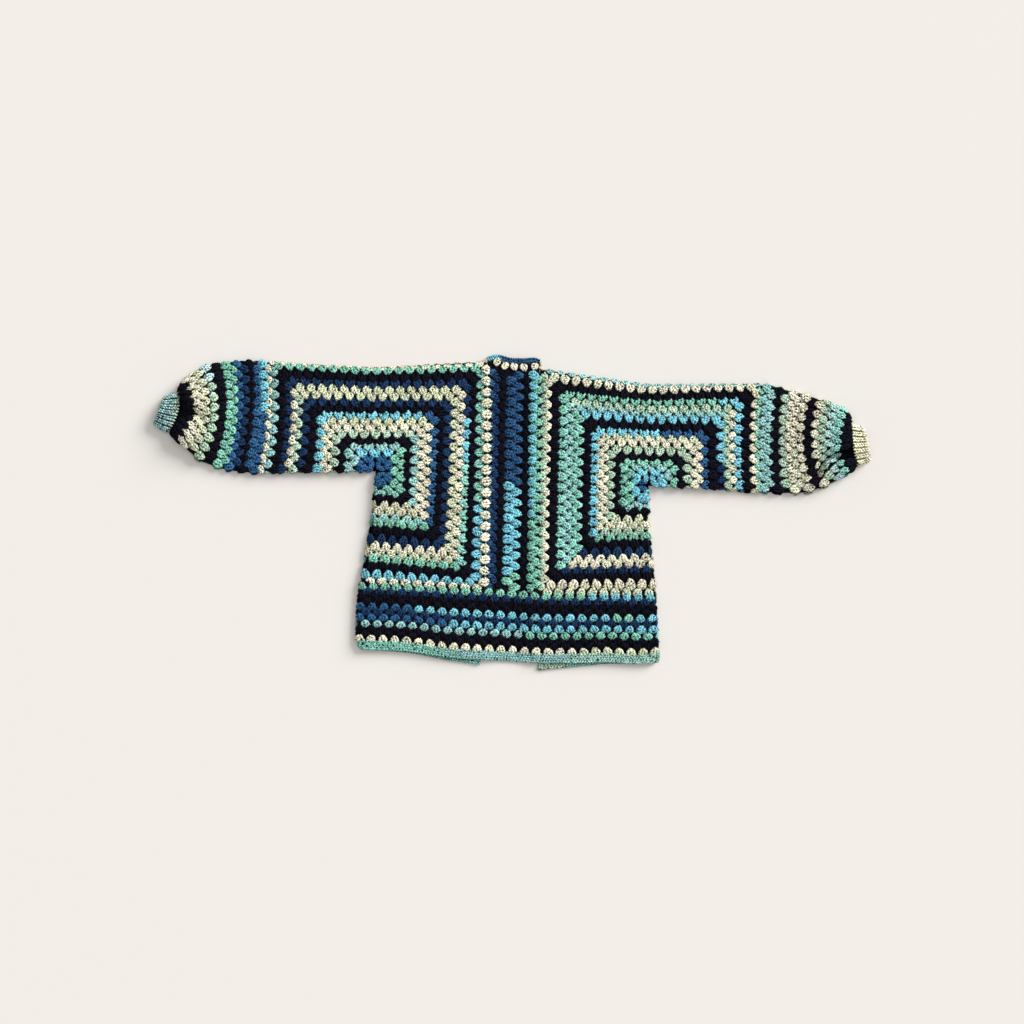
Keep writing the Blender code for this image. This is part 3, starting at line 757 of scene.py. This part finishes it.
def pressed(node, points):
    """How far the upper layer is pressed in at each point, in millimetres."""
    line, depth, wide = DENTS[node]
    near = np.full(len(points), np.inf)
    for start, end in zip(np.array(line), np.array(line[1:])):
        along = end - start
        share = np.clip((points[:, :2] - start) @ along / (along @ along), 0.0, 1.0)
        near = np.minimum(near, np.hypot(*(points[:, :2] - start - share[:, None] * along).T))
    return np.where(points[:, 2] > 2.0 * EDGE + 0.2, depth * np.exp(-(near / wide) ** 2), 0.0)


def press_in(node, part):
    """Presses stitches into the dent, and tips them to follow it."""
    here = pressed(node, part["at"])
    slopes = [pressed(node, part["at"] + step) - here for step in np.eye(3)[:2]]
    slope = np.stack((*slopes, np.zeros(len(here))), axis=1)
    part["at"][:, 2] -= here
    part["up"] = unit(part["up"] + slope)
    return part


print("dents in", ", ".join(DENTS))

# %% Rounds of a sleeve
def tube_path(sections):
    """A function of a row's share of the way down a sleeve or cuff: its plan path, all round."""
    table = np.array(sections)
    middle = (table[:, 0] + table[:, 2]) / 2.0
    share = np.abs(middle - middle[0]) / abs(middle[-1] - middle[0])

    def section(at):
        return [np.interp(at, share, table[:, n]) for n in range(5)]

    def path(at, lead=0.0):
        at = min(max(at, 0.0), 1.0)
        top_x, top_y, low_x, low_y, bow = section(at)
        length = hypot(top_x - low_x, top_y - low_y)
        steps = [step / length for step in fold_steps(length / 2.0, 9)]
        spread = steps + [1.0 - step for step in reversed(steps[:-1])]
        line = []
        for s in spread:
            top_x, top_y, low_x, low_y, bow = section(min(at + lead * (2.0 * s - 1.0) ** 2, 1.0))
            line.append((mix(low_x, top_x, s) + bow * 4.0 * s * (1.0 - s), mix(low_y, top_y, s)))
        return [(*p, False) for p in line] + [(*p, True) for p in reversed(line)] + [(*line[0], False)]

    return path


CHANGES["sleeve_left", "tube"] = ((1, 1, 0, 190, "D"), (9, 1, 245, 400, "P"))
for node, sections in SLEEVES.items():
    path = tube_path(sections)
    rows = SLEEVE_ROWS[node]
    parts = []
    for n, (letter, share, count, lead, gap) in enumerate(zip(*rows, np.gradient(np.array(rows[1])))):
        part = places(partial(path, lead=lead), share, count, n % 2 / 2, gap)
        part = press_in(node, sized(part))
        part["stretch"][:, :2] *= SLEEVE_FILL
        dye(part, (node, "tube"), n + 1, letter)
        parts.append(part)
    work(node, "_clusters", parts, clusters)

# %% [markdown]
# ## The rows round the body
# Eleven rows of clusters go round the body below the hexagons, from one front edge to the
# other. Their path turns at both side folds and runs back under the fronts.

# %% Rows round the body
# x, top y, hem y of the back, hem y of the front
BORDER = ((-303, -137.8, -267, -267), (-226, -141, -269.3, -271.5), (-187, -143, -273.2, -276),
          (-126.6, -146.2, -283.3, -288), (-72, -149, -286.8, -295.4), (-48.6, -150.2, -287.6, -295.4),
          (47, -158, -293.9, -307.5), (54.5, -158.6, -293.9, -307.5), (140.6, -159.7, -293.9, -299),
          (181.5, -159.9, -291.9, -295), (244, -160.1, -295.8, -296.5), (290, -160.3, -292, -292))
SIDE_FOLDS = ((0, -296.2, 279), (.4, -300.1, 283.4), (.85, -302.6, 287.3), (.95, -300, 287.5),
              (1, -292.5, 282))
BAND_SHARE = 0.13
HEM_BAND = 18.0
LEFT_FRONT, RIGHT_FRONT = (HEXAGONS[node]["front_x"] for node in ("hexagon_left", "hexagon_right"))


def girth_path(depth):
    """Plan path round the body; depth 0 is the hexagons' edge, 1 the hem band, 2 the hem."""
    whole = min(depth, 1.0) * (1.0 - BAND_SHARE) + max(depth - 1.0, 0.0) * BAND_SHARE
    left, right = read(SIDE_FOLDS, whole, 1), read(SIDE_FOLDS, whole, 2)
    near = [left + step for step in fold_steps(LEFT_FRONT - left, 12)]
    far = [right - step for step in fold_steps(right - RIGHT_FRONT, 12)]
    across = [left + step for step in fold_steps((right - left) / 2.0, 24)]
    across += [right - step for step in reversed(fold_steps((right - left) / 2.0, 24)[:-1])]
    line = [(x, True) for x in reversed(near)] + [(x, False) for x in across] + [(x, True) for x in far]
    return girth_line(line, depth)


def inside_path(depth):
    """The same row on the inside of the back, where the open fronts show it."""
    return girth_line([(mix(LEFT_FRONT, RIGHT_FRONT, n / 20.0), True) for n in range(21)], depth)


def girth_line(line, depth):
    path = []
    for x, front in line:
        hem = read(BORDER, x, 3 if front else 2)
        top = read(BORDER, x, 1)
        y = mix(top, hem + HEM_BAND, depth) if depth <= 1.0 else mix(hem + HEM_BAND, hem, depth - 1.0)
        path.append((x, y, front))
    return path


print("the hem lies from x", read(SIDE_FOLDS, 1.0, 1), "to", read(SIDE_FOLDS, 1.0, 2))

# %% Work the rows round the body
BORDER_ROWS = ("GNKKDNDAKKC", (.042, .125, .215, .306, .40, .494, .587, .70, .79, .88, .965))
CHANGES["body_border", "girth"] = (
    (1, 0, 138, 400, "S"), (5, 0, -183, 400, "S"), (7, 0, -117, 400, "S"),
    (8, 0, 20, 400, "G"), (11, 0, 123, 400, "M"), (5, 0, 187, 243, "G"))
AROUND, INSIDE = 46, 6    # clusters in a row, and those on the inside of the back
BORDER_SLIM = 0.93        # the clusters of the border stand a little apart
FIRST_LIFT = 0.5          # the first row's feet lie on the hexagons' last row
SEAM_SINK = 1.8
gap = 1.0 / len(BORDER_ROWS[0])
parts = []
for n, (letter, share) in enumerate(zip(*BORDER_ROWS)):
    for path, count in ((girth_path, AROUND), (inside_path, INSIDE)):
        part = sized(places(path, share, count, n % 2 / 2, gap))
        if path is girth_path:
            part["stretch"][:, 0] *= BORDER_SLIM
            part["at"][:, 2] += FIRST_LIFT if n == 0 else 0.0
        dye(part, ("body_border", "girth"), n + 1, letter)
        parts.append(part)
# a row of ink closes the seam to the hexagons and the centre strip from behind
seam = sized(places(girth_path, 0.0, AROUND, 0.25, gap))
seam["at"][:, 2] -= SEAM_SINK
seam["shade"] = dyed("K" * len(seam["at"]))
work("body_border", "_clusters", parts + [seam], clusters)

# %% [markdown]
# ## The strip down the middle of the back
# Its rows run up and down. Three of them are worked outwards from the left hexagon, and the
# others from the right one, and they drift a little to the left on the way down.

# %% Columns of the centre strip
PANEL_TOP = ((-48.3, 295), (-29, 298), (-13, 292.5), (20, 290.3), (44, 292), (54.2, 294.4))
# shade, x at the neck, x at the hem end, 1 where it grows to the right, room for its clusters
COLUMNS = (("B", -40.7, -47, 1, 11.5), ("N", -29, -37, 1, 11.5), ("K", -17.3, -26, 1, 11.5),
           ("B", -.8, -10, -1, 14.5), ("B", 13.8, 4.5, -1, 14.5), ("K", 27.5, 19, -1, 11.5),
           ("S", 43.1, 34.9, -1, 12.5), ("G", 52.8, 46, -1, 13))
CHANGES["centre_back_panel", "column"] = (
    (4, 1, -122, 54, "S"), (5, 1, -122, 54, "S"), (4, 1, -400, -122, "G"),
    (5, 1, -400, -122, "G"), (7, 1, -400, -15, "G"))
COLUMN_CLUSTERS = 21
FIRST_COLUMN = (3.5, 0.0, -1.6)   # the left hexagon's last round lies over the first column
NECK_SPACE, HEM_SPACE = 14.0, 2.0


def column_path(column, inside, row):
    """Plan path of a column, or of its neighbour one row on."""
    top_x, low_x, grows, room = column[1:]
    line = []
    for n in range(40):
        share = n / 39.0
        x = mix(top_x, low_x, share) + row * room * grows
        line.append((x, mix(read(PANEL_TOP, x) - NECK_SPACE, read(LOWER_EDGE, x) - HEM_SPACE, share),
                     inside))
    return line


panel_parts = []
for n, column in enumerate(COLUMNS):
    for inside in (True, False):
        part = sized(places(partial(column_path, column, inside), 0.0, COLUMN_CLUSTERS, n % 2 / 2))
        if n == 0 and not inside:
            part["at"] += FIRST_COLUMN
        dye(part, ("centre_back_panel", "column"), n + 1, column[0])
        panel_parts.append(part)
NECK_CLUSTERS = ((-28.9, 292.5), (-13.5, 284.9), (4.5, 283.5), (23.4, 282), (44.7, 283.9))
NECK_PITCH, NECK_GAP = 19.0, 9.5
count = len(NECK_CLUSTERS)
neck_row = laid([land(x, y, False) for x, y in NECK_CLUSTERS], [(0.0, 1.0, 0.0)] * count, NECK_PITCH)
neck_row["gap"] = np.full(count, NECK_GAP)
neck_row = sized(neck_row)
neck_row["shade"] = dyed("C" * count)
work("centre_back_panel", "_clusters", panel_parts + [neck_row], clusters)

# %% [markdown]
# ## The hem band
# Below the clusters the hem is worked in rows of single crochet, a small dense stitch: two
# short strands that lean together, like a row of little v's.

# %% Single crochet round the hem
small = []
for side in (-1.0, 1.0):
    small.append(([(side * 2.3, -2.9, 0.3), (side * 1.7, -0.6, 1.3), (side * 0.9, 2.7, 0.9)],
                  [1.0, 1.45, 1.0], 5))
small_stitches = bpy.data.collections.new("single_crochets")
small_stitches.objects.link(stitch("single_crochet", small))
HEM_SHADES = ((-400, -120, "T"), (110, 400, "H"))
CHANGES["hem_band", "girth"] = [(row, 0, *change) for row in (1, 2, 3, 4) for change in HEM_SHADES]
HEM_DEPTHS = (1.15, 1.39, 1.64, 1.88)
HEM_COUNT, HEM_PITCH = 190, 5.6
SMALL_GLOW = 0.2      # small stitches differ more in their shade
LOWER_ROWS = (2.2, 6.7, 11.2)     # millimetres above the fronts' hem
FLOOR_LAYER = 6.5     # what lies lower than this is the fronts


def small_sized(part, wide, long=1.0, flat=0.9):
    """Fits small stitches, which are wide millimetres apart as they are drawn."""
    under = part["up"][:, 2] < UNDERSIDE
    width = part["pitch"] / wide
    part["stretch"] = np.stack((width, np.full(len(width), long), np.where(under, 0.6, flat)), axis=1)
    part["at"] = part["at"] + part["up"] * np.where(under, -FRONT_SINK, BACK_LIFT)[:, None]
    return part


hem_parts = []
for n, depth in enumerate(HEM_DEPTHS):
    part = places(girth_path, depth, HEM_COUNT, n % 2 / 2, 0.25)
    part = small_sized(part, HEM_PITCH)
    dye(part, ("hem_band", "girth"), n + 1, "A", SMALL_GLOW)
    hem_parts.append(part)
# the fronts hang a little lower than the back, so the inside of their hem shows below it
for n, rise in enumerate(LOWER_ROWS):
    lower = [(x + 2.8 * (n % 2), read(BORDER, x, 3) + rise) for x in np.arange(-298.0, 287.0, HEM_PITCH)
             if not LEFT_FRONT + 1.0 < x < RIGHT_FRONT - 1.0]
    found = [hit for hit in (land(x, y, False) for x, y in lower) if hit and hit[0][2] < FLOOR_LAYER]
    part = laid([(hit[0], (0.0, 0.0, 1.0)) for hit in found], [(0.0, -1.0, 0.0)] * len(found), HEM_PITCH)
    part = small_sized(part, HEM_PITCH)
    part["shade"] = dyed(["E" if 0.0 < spot[0] < 110.0 else "T" for spot in part["at"]], SMALL_GLOW)
    hem_parts.append(part)
work("hem_band", "_stitches", hem_parts, small_stitches)

# %% [markdown]
# ## The cuffs
# The cuffs are ribbed: every rib is a column of stitches that stands out, from the sleeve to
# the opening.

# %% Ribs of the cuffs
CUFFS = {
    "cuff_left": ((-646.7, 232.7, -668.6, 156.9, 8), (-657.5, 229.8, -678.4, 161.2, 6),
                  (-668.5, 226.8, -689.2, 166.8, 4), (-677.5, 223.4, -697.5, 174, 0)),
    "cuff_right": ((662.2, 168.2, 673.9, 93.8, -5), (671, 166.4, 682.6, 95.6, -3),
                   (679, 164.6, 691, 98.2, 0), (685.6, 161.9, 697.5, 101.6, 1.5)),
}
CUFF_SHADES = {"cuff_left": "EPPPAPA", "cuff_right": "WWWWCW"}
RIBS = 16
RIB_WIDE, RIB_LONG, RIB_HIGH = 7.7, 1.25, 1.8
for node, sections in CUFFS.items():
    path = tube_path(sections)
    letters = CUFF_SHADES[node]
    parts = []
    for n, letter in enumerate(letters):
        share = (n + 0.45) / len(letters)
        part = places(path, share, RIBS, gap=0.2)
        part = small_sized(part, RIB_WIDE, RIB_LONG, RIB_HIGH)
        part["shade"] = dyed([letter] * len(part["at"]), SMALL_GLOW)
        parts.append(part)
    work(node, "_ribs", parts, small_stitches)

# %% [markdown]
# ## The band round the neck and down the fronts
# A narrow ribbed band edges both fronts and the neck. From above only its stretch behind the
# neck shows, where it stands above the centre strip.

# %% Stitches along the band
BAND_PATH = ((-67.2, -295), (-67.2, 240), (-66.6, 262), (-62, 279), (-54.5, 291), (-44, 300), (-32, 303.6),
             (-20, 301.2), (-8, 297.2), (5, 296), (20, 295.4), (32, 296.4), (44, 297.6), (52, 294.6),
             (55.6, 286), (55.8, 272), (55.8, 240), (55.8, -307.2))


BAND_PITCH, BAND_WIDE, BAND_LONG = 4.4, 5.2, 0.95
BAND_OFF = 2.3        # the two rows of stitches lie this far off the band's middle
BAND_GLOW = 0.25


def band_shade(spot):
    x, y = spot[0], spot[1]
    if y < -280.0:
        return "E" if x > 0.0 else "A"
    if y > 270.0 and (x < -46.0 or x > 53.0):
        return "C"
    return "S" if y > 270.0 and x < -22.0 else "D"


def band_rows(front, low, high):
    """Stitches on the band's upper or lower side, from low to high along it, or its last stretch."""
    line = np.array(BAND_PATH)
    run = np.concatenate(((0.0,), np.cumsum(np.hypot(*np.diff(line, axis=0).T))))
    if low < 0.0:
        low, high = run[-1] + low, run[-1]
    at = np.arange(low, min(high, run[-1]), BAND_PITCH)
    spot = np.stack([np.interp(at, run, line[:, n]) for n in (0, 1)], axis=1)
    heading = unit(np.gradient(spot, axis=0))
    side = np.stack((-heading[:, 1], heading[:, 0]), axis=1)
    parts = []
    for off in (-BAND_OFF, BAND_OFF):
        found = [(land(*(p + s * off), front, "front_band"), s) for p, s in zip(spot, side)]
        found = [(hit, s) for hit, s in found if hit]
        if not found:
            continue
        part = laid([hit for hit, s in found], [(s[0], s[1], 0.0) for hit, s in found], BAND_PITCH)
        part = small_sized(part, BAND_WIDE, BAND_LONG)
        part["shade"] = dyed([band_shade(p) for p in part["at"]], BAND_GLOW)
        parts.append(part)
    return parts


band_parts = band_rows(True, 0.0, 2000.0) + band_rows(False, 590.0, 790.0)
band_parts += band_rows(False, 0.0, 16.0) + band_rows(False, -16.0, 0.0)
work("front_band", "_stitches", band_parts, small_stitches)

# %% [markdown]
# ## The ground of each fabric
# Between the clusters one sees into the dark of the garment. A thin shell stands for the
# chains and the shadow there. It is the solid's own wall, made thinner all round, so it
# follows every fold.

# %% Thin shells
GROUND_DROP = 1.3


def ground_material(name, dark, light):
    material, start, shader, where = blank_material(name)
    speck = noise(start, where, 350.0, 3.0)
    blend = start.out("ShaderNodeMix", {"data_type": "RGBA"}, 2, i0=speck, i6=(*dark, 1.0),
                      i7=(*light, 1.0))
    bump = start.out("ShaderNodeBump", Height=speck, Strength=0.8, Distance=0.001)
    set_inputs(shader, Base_Color=blend, Normal=bump, Roughness=0.95, Specular_IOR_Level=0.0)
    return material


dark_ground = ground_material("dark_ground", (0.0025, 0.0022, 0.0035), (0.0085, 0.0078, 0.0125))
# dense ribs hide no dark hollow, only more of their own yarn, painted darker for the shade between them
GROUNDS = {"cuff_left": ground_material("aqua_ground", (0.006, 0.02, 0.02), (0.03, 0.08, 0.08)),
           "cuff_right": ground_material("cream_ground", (0.20, 0.15, 0.08), (0.50, 0.44, 0.27)),
           "hem_band": ground_material("hem_ground", (0.03, 0.09, 0.09), (0.12, 0.28, 0.26))}


def ground_shell(node):
    mesh = bmesh.new()
    mesh.from_mesh(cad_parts[node].data)
    bmesh.ops.remove_doubles(mesh, verts=mesh.verts, dist=1e-5)
    if node in DENTS:
        # the dent needs more points than the solid's wall has
        bmesh.ops.triangulate(mesh, faces=mesh.faces)
        bmesh.ops.subdivide_edges(mesh, edges=mesh.edges, cuts=2, use_grid_fill=True)
    mesh.normal_update()
    moved = [vert.co - vert.normal * GROUND_DROP * MM for vert in mesh.verts]
    if node in DENTS:
        for spot, depth in zip(moved, pressed(node, np.array(moved) / MM)):
            spot.z -= depth * MM
    for vert, spot in zip(mesh.verts, moved):
        vert.co = spot
    data = bpy.data.meshes.new(node + "_ground")
    mesh.to_mesh(data)
    area = sum(face.calc_area() for face in mesh.faces) / 2.0
    mesh.free()
    data.materials.append(GROUNDS.get(node, dark_ground))
    data.shade_smooth()
    piece = new_object(node + "_ground", data)
    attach(piece, "root")
    print(node, "cloth area", round(area, 4), "m2 in", len(data.polygons), "faces")
    return piece


shells = {node: ground_shell(node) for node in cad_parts}

# %% [markdown]
# ## The studio
# The garment lies on a pale floor and is seen from straight above. A large soft light from
# the upper right gives the soft shadow at its left and lower edges.

# %% Floor, light and camera
floor_mesh = bpy.data.meshes.new("floor")
FLOOR_SIZE, FLOOR_DROP = 30.0, 0.0005   # half its width, and its depth under the garment
floor_mesh.from_pydata([(x * FLOOR_SIZE, y * FLOOR_SIZE, -FLOOR_DROP)
                        for x, y in ((-1, -1), (1, -1), (1, 1), (-1, 1))], [], [(0, 1, 2, 3)])
floor = new_object("floor", floor_mesh)
pale = bpy.data.materials.new("pale_floor")
pale.use_nodes = True
set_inputs(pale.node_tree.nodes["Principled BSDF"], Base_Color=(0.65, 0.62, 0.585, 1.0), Roughness=0.9)
floor_mesh.materials.append(pale)

world = bpy.data.worlds.new("studio")
bpy.context.scene.world = world
world.use_nodes = True
set_inputs(world.node_tree.nodes["Background"], Color=(1.0, 1.0, 1.0, 1.0), Strength=0.42)


def far_light(name, towards, softness, power):
    """A light so far away that the whole floor gets the same of it."""
    light = bpy.data.lights.new(name, "SUN")
    light.angle = radians(softness)
    light.energy = power
    lamp = new_object(name, light)
    lamp.rotation_euler = (-Vector(towards)).to_track_quat("-Z", "Y").to_euler()


far_light("key", (0.75, 0.55, 0.46), 32.0, 4.45)
far_light("top", (0.1, 0.1, 1.0), 60.0, 1.0)

bpy.context.scene.view_settings.view_transform = "Standard"
camera = new_object("camera", bpy.data.cameras.new("camera"))
camera.data.lens = 70.0
camera.location = (0.0002, 0.0006, 3.891)
bpy.context.scene.camera = camera

# %% Hide the imported solids
for node, piece in shells.items():
    under = ["hexagon_left_ground", "hexagon_right_ground"] if node == "centre_back_panel" else ["floor"]
    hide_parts(node)
